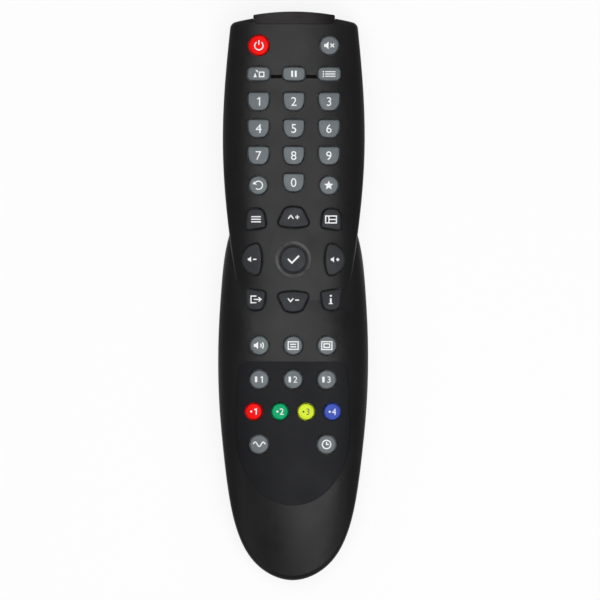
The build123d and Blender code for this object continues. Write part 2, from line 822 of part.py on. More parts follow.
# ------------------------------------------------------------------ cells and their contacts
end_play = bay_length - cell_length - contact_thickness - dimple_height - contact_play
spring_length = end_play - contact_thickness - contact_play
cells = (("battery_left", -cell_spacing / 2, -1), ("battery_right", cell_spacing / 2, 1))
for name, x, facing in cells:
    # facing is +1 where the cell's button points to the head
    plate = bay_y[1] if facing > 0 else bay_y[0]
    tip = plate - facing * (contact_thickness + dimple_height + contact_play)
    can_end = tip - facing * button_height
    with BuildPart() as cell:
        with BuildSketch(Plane((x, can_end, cell_z), z_dir=(0, -facing, 0))):
            Circle(cell_diameter / 2)
        extrude(amount=cell_length - button_height)
        fillet(cell.edges(), 0.5)
        with BuildSketch(Plane((x, can_end, cell_z), z_dir=(0, facing, 0))):
            Circle(button_radius)
        extrude(amount=button_height)
    finish(cell, name)


def plate_and_tab(x, y, inward):
    """Contact plate against a bay wall; inward is the way into the bay along Y."""
    ys = sorted((y, y + inward * contact_thickness))
    return (x - plate_half, x + plate_half), ys, (cell_z - plate_half, cell_z + plate_half)


def dimple(x, y, inward):
    """Low pip that touches a cell's button."""
    with BuildPart() as pip:
        with BuildSketch(Plane((x, y + inward * contact_thickness, cell_z), z_dir=(0, inward, 0))):
            Circle(1.6)
        extrude(amount=dimple_height, taper=30)
    return pip.part


def coil(x, y, inward):
    """Compression spring standing on its plate."""
    foot = y + inward * (contact_thickness + spring_wire * 0.6)
    turns = 3.5
    path_length = spring_length - 1.6 * spring_wire
    axis = {"center": (x, foot, cell_z), "direction": (0, inward, 0)}
    with BuildPart() as spring:
        with BuildLine() as path:
            Helix(path_length / turns, path_length, spring_radius, **axis)
        with BuildSketch(Plane(path.line @ 0, z_dir=path.line % 0)):
            Circle(spring_wire)
        sweep(is_frenet=True)
    return spring.part


head_wall, tail_wall = bay_y[1], bay_y[0]
tab_top_z = board_z
left, right = -cell_spacing / 2, cell_spacing / 2
for name, x, sprung in (("contact_positive", right, False), ("contact_negative", left, True)):
    xs, ys, zs = plate_and_tab(x, head_wall, -1)
    detail = coil(x, head_wall, -1) if sprung else dimple(x, head_wall, -1)
    with BuildPart() as contact:
        block(xs, ys, zs)
        block((x - tab_width / 2, x + tab_width / 2), ys, (zs[1] - 0.1, tab_top_z))
        add(detail)
    finish(contact, name)

bridge_coil = coil(right, tail_wall, 1)
bridge_dimple = dimple(left, tail_wall, 1)
with BuildPart() as contact_bridge:
    for x in (left, right):
        block(*plate_and_tab(x, tail_wall, 1))
    link_y = (tail_wall, tail_wall + contact_thickness)
    block((left, right), link_y, (cell_z - 1.5, cell_z + 1.5))
    add(bridge_coil)
    add(bridge_dimple)
finish(contact_bridge, "contact_bridge")

# ------------------------------------------------------------------ circuit board and keymat
head_board = head_plan(wall + board_edge)
body_board = body_plan(wall + body_board_edge)
board_y = (tail_y(board_tail), flange_y[0] - board_gap)
with BuildSketch() as board_outline:
    add(body_board)
    with Locations((0, tail_y(body_board_front))):
        Rectangle(2 * body_width, 2 * tail_end, align=(Align.CENTER, Align.MAX), mode=Mode.INTERSECT)
    add(head_board)
    with Locations((0, sum(board_y) / 2)):
        Rectangle(2 * body_width, board_y[1] - board_y[0], mode=Mode.INTERSECT)
    with Locations(screws):
        Circle(boss_radius + board_edge / 2, mode=Mode.SUBTRACT)

with BuildPart() as pcb:
    with BuildSketch(Plane.XY.offset(board_z)):
        add(board_outline.sketch)
    extrude(amount=board_thickness)
finish(pcb, "pcb")

with BuildPart() as keymat:
    with BuildSketch(Plane.XY.offset(board_top_z)):
        add(board_outline.sketch)
        with Locations([(x, y) for name, outline, x, y, dome in keys]):
            Circle(web_hole_radius, mode=Mode.SUBTRACT)
    extrude(amount=keymat_thickness)
finish(keymat, "keymat")

with BuildPart() as contact_pads:
    for name, outline, x, y, dome in keys:
        column(x, y, (board_top_z, board_top_z + pad_thickness), pad_radius)
finish(contact_pads, "contact_pads")

# ------------------------------------------------------------------ parts under the board
led_z = board_z - led_radius - led_drop
led_back = head_y(led_setback)
with BuildPart() as ir_led:
    with BuildSketch(Plane((0, led_back, led_z), z_dir=(0, 1, 0))):
        Circle(led_collar[0])
    extrude(amount=led_collar[1])
    with BuildSketch(Plane((0, led_back, led_z), z_dir=(0, 1, 0))):
        Circle(led_radius)
    extrude(amount=led_barrel)
    with Locations((0, led_back + led_barrel, led_z)):
        Sphere(led_radius)
    half_lead = led_lead / 2
    lead_end = led_back - led_lead_reach
    for x in (-led_lead_pitch / 2, led_lead_pitch / 2):
        lead_x = (x - half_lead, x + half_lead)
        block(lead_x, (lead_end, led_back), (led_z - half_lead, led_z + half_lead))
        block(lead_x, (lead_end, lead_end + led_lead), (led_z - half_lead, board_z))
finish(ir_led, "ir_led")

chip_y = head_y(chip_row)
chip_top_z = board_z - chip_stand
chip_half, chip_reach = chip_size[0] / 2, chip_size[1] / 2
with BuildPart() as controller_chip:
    chip_z = (chip_top_z - chip_size[2], chip_top_z)
    block((-chip_half, chip_half), (chip_y - chip_reach, chip_y + chip_reach), chip_z)
    chamfer(controller_chip.faces().sort_by(Axis.Z)[0].edges(), chip_chamfer)
    inner_end = chip_half - 0.1
    for side in (-1, 1):
        for lead in range(chip_leads):
            y = chip_y + (lead - (chip_leads - 1) / 2) * chip_lead_pitch
            foot = sorted((side * inner_end, side * (inner_end + chip_lead[0])))
            lead_y = (y - chip_lead[1] / 2, y + chip_lead[1] / 2)
            block(foot, lead_y, (board_z - chip_lead[1], board_z))
finish(controller_chip, "controller_chip")

with BuildPart() as resonator:
    x, y = resonator_place
    with Locations((x, chip_y + y, board_z - resonator_size[2] / 2)):
        Box(*resonator_size)
    fillet(resonator.edges().filter_by(Axis.Z), resonator_corner)
finish(resonator, "resonator")

with BuildPart() as capacitor:
    x, y = capacitor_place
    foot = chip_y + y
    can_radius, can_length = capacitor_size
    can_z = board_z - capacitor_drop - can_radius
    with BuildSketch(Plane((x, foot, can_z), z_dir=(0, 1, 0))):
        Circle(can_radius)
    extrude(amount=can_length)
    fillet(capacitor.edges(), capacitor_edge)
    half_lead = capacitor_lead / 2
    lead_end = foot - capacitor_lead_reach
    for lead_x in (x - 1, x + 1):
        lead = (lead_x - half_lead, lead_x + half_lead)
        block(lead, (lead_end, foot), (can_z - half_lead, can_z + half_lead))
        block(lead, (lead_end, lead_end + capacitor_lead), (can_z - half_lead, board_z))
finish(capacitor, "capacitor")

with BuildPart() as transistor:
    x, y = transistor_place[0], led_back - transistor_place[1]
    width, depth, height = transistor_size
    lead_width, lead_depth, lead_height = transistor_lead
    body_z = (board_z - 0.1 - height, board_z - 0.1)
    block((x - width / 2, x + width / 2), (y - depth / 2, y + depth / 2), body_z)
    for lead_x, lead_y in ((x - 0.95, y + 0.85), (x + 0.95, y + 0.85), (x, y - 0.85)):
        lead_xs = (lead_x - lead_width / 2, lead_x + lead_width / 2)
        lead_ys = (lead_y - lead_depth / 2, lead_y + lead_depth / 2)
        block(lead_xs, lead_ys, (board_z - lead_height, board_z))
finish(transistor, "transistor")

with BuildPart() as chip_resistors:
    width, depth, height = resistor_size
    y = chip_y + resistor_row
    for step in range(resistor_count):
        x = (step - (resistor_count - 1) / 2) * resistor_pitch
        xs = (x - width / 2, x + width / 2)
        block(xs, (y - depth / 2, y + depth / 2), (board_z - height, board_z))
finish(chip_resistors, "chip_resistors")

# ------------------------------------------------------------------ housing screws
with BuildPart() as housing_screws:
    for x, y in screws:
        column(x, y, (seat_z - screw_head_height, seat_z), screw_head_radius)
    fillet(housing_screws.faces().group_by(Axis.Z)[0].edges(), 0.5)
    for x, y in screws:
        column(x, y, (seat_z - 0.1, seat_z + screw_length), screw_radius)
        for turn in (0, 90):
            with Locations(Location((x, y, seat_z - screw_head_height + 0.35), (0, 0, turn))):
                Box(2.4, 0.5, 0.9, mode=Mode.SUBTRACT)
finish(housing_screws, "housing_screws")
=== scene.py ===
"""A handheld remote control.

Gives the CAD part its finishes, prints the symbols on its keys, and sets the light and the camera.
"""

import math

import bmesh
import bpy
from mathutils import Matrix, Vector
from mathutils.bvhtree import BVHTree


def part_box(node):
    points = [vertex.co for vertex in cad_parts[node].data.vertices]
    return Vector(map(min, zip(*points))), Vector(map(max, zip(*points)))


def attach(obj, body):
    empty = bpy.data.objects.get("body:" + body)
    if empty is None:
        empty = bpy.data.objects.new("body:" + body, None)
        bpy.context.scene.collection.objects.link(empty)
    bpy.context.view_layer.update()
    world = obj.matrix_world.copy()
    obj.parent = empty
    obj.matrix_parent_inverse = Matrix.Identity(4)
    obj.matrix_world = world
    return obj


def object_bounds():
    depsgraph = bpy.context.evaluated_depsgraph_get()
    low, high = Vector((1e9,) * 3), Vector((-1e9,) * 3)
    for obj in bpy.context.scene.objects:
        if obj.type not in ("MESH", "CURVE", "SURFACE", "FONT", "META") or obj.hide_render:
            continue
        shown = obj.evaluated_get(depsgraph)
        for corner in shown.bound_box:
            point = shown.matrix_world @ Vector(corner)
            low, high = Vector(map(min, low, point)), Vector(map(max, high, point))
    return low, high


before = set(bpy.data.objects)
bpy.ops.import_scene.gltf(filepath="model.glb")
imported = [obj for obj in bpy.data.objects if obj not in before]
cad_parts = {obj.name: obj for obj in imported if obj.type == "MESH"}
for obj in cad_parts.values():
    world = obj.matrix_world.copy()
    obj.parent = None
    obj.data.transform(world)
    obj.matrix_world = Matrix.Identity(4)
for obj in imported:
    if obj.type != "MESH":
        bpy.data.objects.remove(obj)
cad_low, cad_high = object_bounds()

MM = 0.001

# ---------------------------------------------------------------- camera
SENSOR = 36.0  # mm
SHOWN_WIDTH = 200.0  # mm across the picture
SHOWN_CENTRE = (2.23, -1.25)  # mm, the point under the camera
SHOWN_HEIGHT = 16.0  # mm, the level that the width is measured at
CAMERA_DISTANCE = 3000.0  # mm above that level
CAMERA_ROLL = 0.0028  # radians

# ---------------------------------------------------------------- light
# Lamps: places, distances and sizes in m from the origin, tilt in degrees from upright.
CEILING_BOX = {"place": (0.06, -0.08, 1.0), "size": (0.5, 1.0), "radiance": 5.6}
CORNER_BOXES = {"tilt": 50.0, "away": 1.5, "size": (0.85, 0.85), "radiance": 1.1}
CORNER_TURNS = (45, 135, 225, 315)  # degrees round the object
ROOM_LEVEL = 0.05  # radiance of the dim room round the lamps
FLOOR_SIZE = 12.0  # m
FLOOR_DROP = 0.02  # mm under the object
FLOOR_SHADE = (0.88, 0.88, 0.88)
FLOOR_GLOW = 0.85  # share of plain white in what is seen of the floor

# ---------------------------------------------------------------- finishes
RECESS_REACH = 2.2  # mm, how near a wall makes a groove
RECESS_SPAN = (0.68, 0.96)  # openness in a groove and on an open face
RECESS_ROUGHNESS = 0.95
RECESS_SAMPLES = 8
TRACK_PITCH = 9.0  # mm, copper lines of the board
TRACK_WIDTH = 0.06  # mortar size of the brick texture that draws them
CELL_BAND_START = 0.22  # of the length of a cell, from its middle
CELL_END_FACING = 0.7  # a face that looks along the cell more than this is a bare end

# ---------------------------------------------------------------- printed symbols
LINE = 0.38  # mm, width of a printed line
FILM = 0.02  # mm that the ink stands over the key, and sinks into it
GRID_STEP = 0.5  # mm, the ink is cut on this grid so that it follows a domed key
GRID_REACH = 6  # cuts on each side of the middle
CUT_SNAP = 0.001  # mm, a corner this near a cut lies on it
RAY_LIFT = 1.0  # mm over the key, where the rays that find its top start
DIGIT_HEIGHT = 2.9  # mm
SMALL_DIGIT = 2.1  # mm, beside another mark
ONE_FLAG = (-0.17, 0.27)  # end of the flag of a one, in heights from its middle
ONE_STEM = 0.1  # place of its stem, in heights from its middle
ARC_STEP = 12.0  # degrees
ARC_LEAST = 4  # steps in the shortest arc
MITRE_LEAST = 0.5  # keeps the mitre of a sharp corner from growing long
STAR_WAIST = 0.45  # inner corners of a star, of its radius


# ================================================================ finishes
def start_finish(name, colour, roughness, metallic=0.0, specular=0.5):
    """A new node material with those uniform values: (material, tree, shader)."""
    material = bpy.data.materials.new(name)
    material.use_nodes = True
    shader = material.node_tree.nodes["Principled BSDF"]
    shader.inputs["Base Color"].default_value = (*colour, 1)
    shader.inputs["Roughness"].default_value = roughness
    shader.inputs["Metallic"].default_value = metallic
    shader.inputs["Specular IOR Level"].default_value = specular
    return material, material.node_tree, shader


def place(tree, stretch=(1, 1, 1)):
    """Object coordinates in metres, stretched per axis."""
    coordinates = tree.nodes.new("ShaderNodeTexCoord")
    mapping = tree.nodes.new("ShaderNodeMapping")
    mapping.inputs["Scale"].default_value = stretch
    tree.links.new(coordinates.outputs["Object"], mapping.inputs["Vector"])
    return mapping.outputs["Vector"]


def noise(tree, size, detail=2.0, stretch=(1, 1, 1)):
    """A noise whose features are about that many mm across."""
    texture = tree.nodes.new("ShaderNodeTexNoise")
    texture.inputs["Scale"].default_value = 1 / (size * MM)
    texture.inputs["Detail"].default_value = detail
    tree.links.new(place(tree, stretch), texture.inputs["Vector"])
    return texture.outputs[0]


def ranged(tree, value, low, high, span=(0.3, 0.7)):
    """Maps that span of a value onto low to high."""
    node = tree.nodes.new("ShaderNodeMapRange")
    node.inputs["From Min"].default_value = span[0]
    node.inputs["From Max"].default_value = span[1]
    node.inputs["To Min"].default_value = low
    node.inputs["To Max"].default_value = high
    tree.links.new(value, node.inputs["Value"])
    return node.outputs["Result"]


def maths(tree, operation, first, second=None):
    """One arithmetic node on outputs or numbers."""
    node = tree.nodes.new("ShaderNodeMath")
    node.operation = operation
    for socket, value in zip(node.inputs, (first, second)):
        if isinstance(value, bpy.types.NodeSocket):
            tree.links.new(value, socket)
        elif value is not None:
            socket.default_value = value
    return node.outputs[0]


def mixed(tree, factor, first, second):
    """Two colours, or outputs that give colours, mixed by factor."""
    node = tree.nodes.new("ShaderNodeMix")
    node.data_type = "RGBA"
    tree.links.new(factor, node.inputs["Factor"])
    # Sockets 6 and 7 are its two colours; their names are shared with other data types.
    for socket, colour in ((node.inputs[6], first), (node.inputs[7], second)):
        if isinstance(colour, bpy.types.NodeSocket):
            tree.links.new(colour, socket)
        else:
            socket.default_value = (*colour, 1)
    return node.outputs[2]


def shade(colour, factor):
    """The colour, that many times as bright."""
    return tuple(min(1, c * factor) for c in colour)


def toned(tree, shader, colour, spread, size):
    """Lets the colour drift lighter and darker by spread, over patches of that size in mm."""
    drift = ranged(tree, noise(tree, size, detail=4), 0, 1)
    tones = mixed(tree, drift, shade(colour, 1 - spread), shade(colour, 1 + spread))
    tree.links.new(tones, shader.inputs["Base Color"])


def polished(tree, shader, low, high, size):
    """Lets the roughness drift between low and high, over patches of that size in mm."""
    drift = ranged(tree, noise(tree, size, detail=3), low, high)
    tree.links.new(drift, shader.inputs["Roughness"])


def dulled(tree, shader, roughness, drift, patch):
    """Duller in grooves and at the foot of the keys, where nothing rubs; elsewhere it drifts."""
    openness = tree.nodes.new("ShaderNodeAmbientOcclusion")
    openness.samples = RECESS_SAMPLES
    openness.inputs["Distance"].default_value = RECESS_REACH * MM
    closed = ranged(tree, openness.outputs["AO"], RECESS_ROUGHNESS, 0, RECESS_SPAN)
    surface = ranged(tree, noise(tree, patch, detail=3), roughness - drift, roughness + drift)
    tree.links.new(maths(tree, "MAXIMUM", closed, surface), shader.inputs["Roughness"])


def grained(tree, shader, *layers):
    """Raises the surface by layers of (height in mm, output that gives the relief)."""
    below = None
    for height, relief in layers:
        bump = tree.nodes.new("ShaderNodeBump")
        bump.inputs["Strength"].default_value = 1
        bump.inputs["Distance"].default_value = height * MM
        tree.links.new(relief, bump.inputs["Height"])
        if below:
            tree.links.new(below, bump.inputs["Normal"])
        below = bump.outputs["Normal"]
    tree.links.new(below, shader.inputs["Normal"])


def moulded(name, colour, roughness, grain_size, grain_height, specular):
    """Moulded plastic with the fine spark-eroded grain of its tool."""
    material, tree, shader = start_finish(name, colour, roughness, specular=specular)
    toned(tree, shader, colour, spread=0.18, size=9)
    dulled(tree, shader, roughness, drift=0.05, patch=14)
    fine = (grain_height, noise(tree, grain_size, detail=3))
    coarse = (grain_height * 2.5, noise(tree, grain_size * 22, detail=1))
    grained(tree, shader, fine, coarse)
    return material


def lacquered(name, colour, roughness=0.46, specular=0.18):
    """Silicone rubber under a satin lacquer: a soft orange peel and a slow drift of tone."""
    material, tree, shader = start_finish(name, colour, roughness, specular=specular)
    toned(tree, shader, colour, spread=0.07, size=2.5)
    polished(tree, shader, roughness - 0.06, roughness + 0.07, size=3)
    rubber = (0.006, noise(tree, 0.22, detail=2))
    peel = (0.012, noise(tree, 1.3, detail=1))
    grained(tree, shader, rubber, peel)
    return material


def polished_window(name, colour):
    """Infrared-pass plastic: glossy, with faint flow marks."""
    material, tree, shader = start_finish(name, colour, roughness=0.25, specular=0.08)
    toned(tree, shader, colour, spread=0.25, size=6)
    polished(tree, shader, low=0.2, high=0.3, size=4)
    grained(tree, shader, (0.004, noise(tree, 5, detail=2, stretch=(1, 3, 1))))
    return material


def plated(name, colour, roughness, brushed=(1, 12, 1)):
    """Plated steel, drawn along one axis."""
    material, tree, shader = start_finish(name, colour, roughness, metallic=1)
    toned(tree, shader, colour, spread=0.12, size=2)
    polished(tree, shader, roughness - 0.08, roughness + 0.12, size=1.5)
    grained(tree, shader, (0.004, noise(tree, 0.5, detail=3, stretch=brushed)))
    return material


def laminate(name, colour):
    """Phenolic board: paper fibres, and printed copper lines under the lacquer."""
    material, tree, shader = start_finish(name, colour, roughness=0.4)
    fibres = ranged(tree, noise(tree, 0.6, detail=4, stretch=(1, 5, 1)), 0, 1)
    paper = mixed(tree, fibres, shade(colour, 0.8), shade(colour, 1.15))
    tracks = tree.nodes.new("ShaderNodeTexBrick")
    tracks.inputs["Scale"].default_value = 1 / (TRACK_PITCH * MM)
    tracks.inputs["Mortar Size"].default_value = TRACK_WIDTH
    tree.links.new(place(tree), tracks.inputs["Vector"])
    printed = mixed(tree, tracks.outputs["Fac"], paper, shade(colour, 1.5))
    tree.links.new(printed, shader.inputs["Base Color"])
    grained(tree, shader, (0.02, tracks.outputs["Fac"]), (0.004, noise(tree, 0.4, detail=2)))
    return material


def cell_jacket(name, colour, band_colour, metal, middle, band_start):
    """A dry cell: a plain jacket with a broad band at its positive end, and bare metal ends.

    middle and band_start are in metres along Y; the band starts that far from the middle.
    """
    material, tree, shader = start_finish(name, colour, roughness=0.3)
    spot = tree.nodes.new("ShaderNodeSeparateXYZ")
    tree.links.new(place(tree), spot.inputs["Vector"])
    coordinates = tree.nodes.new("ShaderNodeTexCoord")
    facing = tree.nodes.new("ShaderNodeSeparateXYZ")
    tree.links.new(coordinates.outputs["Normal"], facing.inputs["Vector"])
    side = maths(tree, "SIGN", spot.outputs["X"])  # the two cells lie head to tail
    along = maths(tree, "MULTIPLY", maths(tree, "SUBTRACT", spot.outputs["Y"], middle), side)
    banded = maths(tree, "GREATER_THAN", along, band_start)
    squareness = maths(tree, "ABSOLUTE", facing.outputs["Y"])
    bare = maths(tree, "GREATER_THAN", squareness, CELL_END_FACING)
    drift = ranged(tree, noise(tree, 3, detail=3), 0, 1)
    jacket = mixed(tree, drift, shade(colour, 0.85), colour)
    body = mixed(tree, banded, jacket, band_colour)
    tree.links.new(mixed(tree, bare, body, metal), shader.inputs["Base Color"])
    tree.links.new(bare, shader.inputs["Metallic"])
    grained(tree, shader, (0.01, noise(tree, 1.2, detail=2, stretch=(1, 0.2, 1))))
    return material


def speckled(name, colour, roughness, size, specular=0.5):
    """A plain small part with the faint mottle of its moulding or dip."""
    material, tree, shader = start_finish(name, colour, roughness, specular=specular)
    toned(tree, shader, colour, spread=0.2, size=size)
    polished(tree, shader, roughness - 0.05, roughness + 0.1, size * 2)
    grained(tree, shader, (0.01, noise(tree, size * 0.5, detail=3)))
    return material


def ink(name, colour):
    """Screen-printed ink, a little uneven where it lies on the rubber."""
    material, tree, shader = start_finish(name, colour, roughness=0.5, specular=0.3)
    toned(tree, shader, colour, spread=0.06, size=0.5)
    grained(tree, shader, (0.004, noise(tree, 0.15, detail=2)))
    return material


cell_low, cell_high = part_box("battery_left")
finishes = {
    "shell": moulded(
        "shell",
        (0.0018, 0.0018, 0.0024),
        roughness=0.3,
        grain_size=0.3,
        grain_height=0.01,
        specular=0.12,
    ),
    "inlay": moulded(
        "inlay",
        (0.0034, 0.0036, 0.005),
        roughness=0.46,
        grain_size=0.22,
        grain_height=0.016,
        specular=0.08,
    ),
    "window": polished_window("window", (0.004, 0.002, 0.003)),
    "grey_key": lacquered("grey_key", (0.124, 0.142, 0.152)),
    "dark_key": lacquered("dark_key", (0.0075, 0.0085, 0.011)),
    "red_key": lacquered("red_key", (0.85, 0.003, 0.002), specular=0.08),
    "green_key": lacquered("green_key", (0.001, 0.33, 0.125), specular=0.08),
    "yellow_key": lacquered("yellow_key", (0.62, 0.76, 0.03), specular=0.08),
    "blue_key": lacquered("blue_key", (0.045, 0.085, 0.43), specular=0.08),
    "silicone": speckled("silicone", (0.2, 0.2, 0.2), roughness=0.6, size=1.5, specular=0.3),
    "board": laminate("board", (0.24, 0.15, 0.06)),
    "led": polished_window("led", (0.12, 0.13, 0.22)),
    "chip": speckled("chip", (0.02, 0.02, 0.02), roughness=0.5, size=0.4),
    "resonator": speckled("resonator", (0.65, 0.3, 0.05), roughness=0.3, size=1.0),
    "capacitor": speckled("capacitor", (0.1, 0.12, 0.3), roughness=0.3, size=1.0),
    "pads": speckled("pads", (0.03, 0.03, 0.03), roughness=0.7, size=0.3),
    "cell": cell_jacket(
        "cell",
        colour=(0.03, 0.032, 0.036),
        band_colour=(0.42, 0.2, 0.06),
        metal=(0.62, 0.61, 0.58),
        middle=(cell_low.y + cell_high.y) / 2,
        band_start=(cell_high.y - cell_low.y) * CELL_BAND_START,
    ),
    "spring_steel": plated("spring_steel", (0.6, 0.6, 0.58), roughness=0.3),
    "screw_steel": plated("screw_steel", (0.1, 0.1, 0.1), roughness=0.4, brushed=(1, 1, 1)),
}
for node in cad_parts.values():
    slot_name = node.data.materials[0].name.split(".")[0]
    node.data.materials[0] = finishes[slot_name]


# ================================================================ printed symbols
# A mark is (corners in mm, faces). A symbol is a list of marks about the middle of its key.
def arc(x, y, radius, start, end):
    """Points on an arc from start to end, in degrees."""
    steps = max(ARC_LEAST, round(abs(end - start) / ARC_STEP))
    angles = [math.radians(start + (end - start) * i / steps) for i in range(steps + 1)]
    return [(x + radius * math.cos(a), y + radius * math.sin(a)) for a in angles]


def line(*points, width=LINE, closed=False):
    """A printed line of even width through the points, with mitred corners."""
    path = [Vector(p) for p in points]
    last = len(path) - 1
    corners = []
    for i, point in enumerate(path):
        into = point - path[i - 1] if i or closed else path[1] - point
        onward = path[(i + 1) % len(path)] - point if i < last or closed else into
        along = (into.normalized() + onward.normalized()).normalized()
        half = width / 2 / max(MITRE_LEAST, along.dot(onward.normalized()))
        side = Vector((-along.y, along.x)) * half
        corners += [point + side, point - side]
    rungs = len(path) if closed else last
    count = len(corners)
    faces = [(2 * i, 2 * i + 1, (2 * i + 3) % count, (2 * i + 2) % count) for i in range(rungs)]
    return corners, faces


def ring(x, y, radius, width=LINE):
    """A printed circle."""
    return line(*arc(x, y, radius, 0, 360)[:-1], width=width, closed=True)


def area(*points):
    """A filled outline."""
    return list(points), [tuple(range(len(points)))]


def disc(x, y, radius):
    """A filled spot."""
    return area(*arc(x, y, radius, 0, 360)[:-1])


def panel(width, height, x=0, y=0):
    """A filled rectangle about (x, y)."""
    left, right = x - width / 2, x + width / 2
    bottom, top = y - height / 2, y + height / 2
    return area((left, bottom), (right, bottom), (right, top), (left, top))


def screen(width, height, x=0, y=0):
    """A printed rectangle about (x, y)."""
    corners, _ = panel(width, height, x, y)
    return line(*corners, closed=True)


def speaker(x, scale=1.0):
    """A filled loudspeaker sign."""
    outline = ((-0.9, -0.5), (-0.3, -0.5), (0.55, -1.25), (0.55, 1.25), (-0.3, 0.5), (-0.9, 0.5))
    return area(*((x + scale * px, scale * py) for px, py in outline))


def star(radius, points=5):
    """A filled star."""
    spokes = range(2 * points)
    reach = [radius * (STAR_WAIST if i % 2 else 1) for i in spokes]
    turn = [math.pi / 2 + math.pi * i / points for i in spokes]
    return area(*((r * math.cos(a), r * math.sin(a)) for r, a in zip(reach, turn)))


def digit(figure, height=DIGIT_HEIGHT, x=0.0):
    """A plain figure of that height about (x, 0), in the built-in typeface; the one has a flag."""
    if figure == 1:
        top, stem = height / 2, x + ONE_STEM * height
        flag = (x + ONE_FLAG[0] * height, ONE_FLAG[1] * height)
        return line(flag, (stem, top - LINE / 2), (stem, -top))
    curve = bpy.data.curves.new("figure", "FONT")
    curve.body = str(figure)
    holder = bpy.data.objects.new("figure", curve)
    mesh = bpy.data.meshes.new_from_object(holder)
    corners = [Vector(v.co[:2]) for v in mesh.vertices]
    faces = [tuple(p.vertices) for p in mesh.polygons]
    bpy.data.objects.remove(holder)
    bpy.data.meshes.remove(mesh)
    low = Vector((min(c.x for c in corners), min(c.y for c in corners)))
    high = Vector((max(c.x for c in corners), max(c.y for c in corners)))
    scale = height / (high.y - low.y)
    middle = (low + high) / 2
    return [(c - middle) * scale + Vector((x, 0)) for c in corners], faces


def plus(x, reach=0.65):
    """A plus sign."""
    return [line((x - reach, 0), (x + reach, 0)), line((x, -reach), (x, reach))]


def wave(reach=2.0, rise=0.75, swings=1.5, steps=24):
    """A printed wave."""
    shares = [i / steps for i in range(steps + 1)]
    turn = 2 * math.pi * swings
    return line(*((reach * (2 * share - 1), rise * math.sin(turn * share)) for share in shares))


symbols = {
    "power": [line(*arc(0, -0.15, 1.4, 125, 415)), line((0, 0.15), (0, 1.65))],
    "mute": [speaker(-0.75), line((0.45, -0.6), (1.65, 0.6)), line((0.45, 0.6), (1.65, -0.6))],
    "source": [
        area((-1.75, -1.15), (-0.65, -1.15), (-1.2, 0.35)),
        line(*arc(-1.2, 0.35, 0.85, 10, 80)),
        screen(1.5, 1.5, 0.95, -0.2),
    ],
    "pause": [panel(0.65, 2.1, -0.6), panel(0.65, 2.1, 0.6)],
    "list": [
        mark
        for y in (-0.75, 0, 0.75)
        for mark in (disc(-1.9, y, 0.24), line((-1.3, y), (2.1, y), width=0.32))
    ],
    "recall": [line(*arc(0, 0, 1.35, -130, 150)), area((-1.95, 0.35), (-0.55, 0.15), (-1.45, 1.3))],
    "favourite": [star(1.65)],
    "up": [line((-1.8, -0.55), (-0.9, 0.55), (0, -0.55)), *plus(1.25)],
    "down": [line((-1.8, 1.1), (-0.9, 0), (0, 1.1)), line((0.6, 0.55), (1.9, 0.55))],
    "left": [speaker(-0.7, 0.75), line((0.4, 0), (1.5, 0))],
    "right": [speaker(-0.7, 0.75), *plus(0.95, 0.55)],
    "ok": [line((-1.8, 0.15), (-0.5, -1.15), (1.9, 1.25), width=0.55)],
    "menu": [line((-1.6, y), (1.6, y)) for y in (-0.85, 0, 0.85)],
    "guide": [screen(3.6, 2.3), line((-0.7, -1.1), (-0.7, 1.1)), line((-0.7, 0), (1.8, 0))],
    "exit": [
        line((0.2, 1.1), (-1.6, 1.1), (-1.6, -1.1), (0.2, -1.1)),
        line((-0.7, 0), (1.6, 0)),
        line((0.9, 0.75), (1.75, 0), (0.9, -0.75)),
    ],
    "info": [disc(0, 1.25, 0.36), panel(0.6, 1.9, 0, -0.5), panel(1.3, 0.36, 0, -1.35)],
    "sound": [
        speaker(-1.0),
        line(*arc(-0.2, 0, 0.75, -48, 48)),
        line(*arc(-0.2, 0, 1.5, -42, 42)),
    ],
    "text": [screen(3.3, 2.5), line((-1.0, 0.42), (1.0, 0.42)), line((-1.0, -0.42), (1.0, -0.42))],
    "page": [screen(3.4, 2.6), screen(1.9, 1.2)],
    "output": [wave()],
    "timer": [ring(0, 0, 1.4), line((0, 0.9), (0, 0), (0.75, 0))],
}
for figure in range(10):
    symbols[str(figure)] = [digit(figure)]
for bank in (1, 2, 3):
    symbols[f"memory_{bank}"] = [panel(0.8, 1.9, -1.1), digit(bank, SMALL_DIGIT, 0.75)]
for figure, colour_name in enumerate(("red", "green", "yellow", "blue"), 1):
    symbols[colour_name] = [disc(-0.85, 0, 0.34), digit(figure, SMALL_DIGIT, 0.6)]

white_ink = ink("white_ink", (0.8, 0.81, 0.82))
black_ink = ink("black_ink", (0.03, 0.03, 0.025))


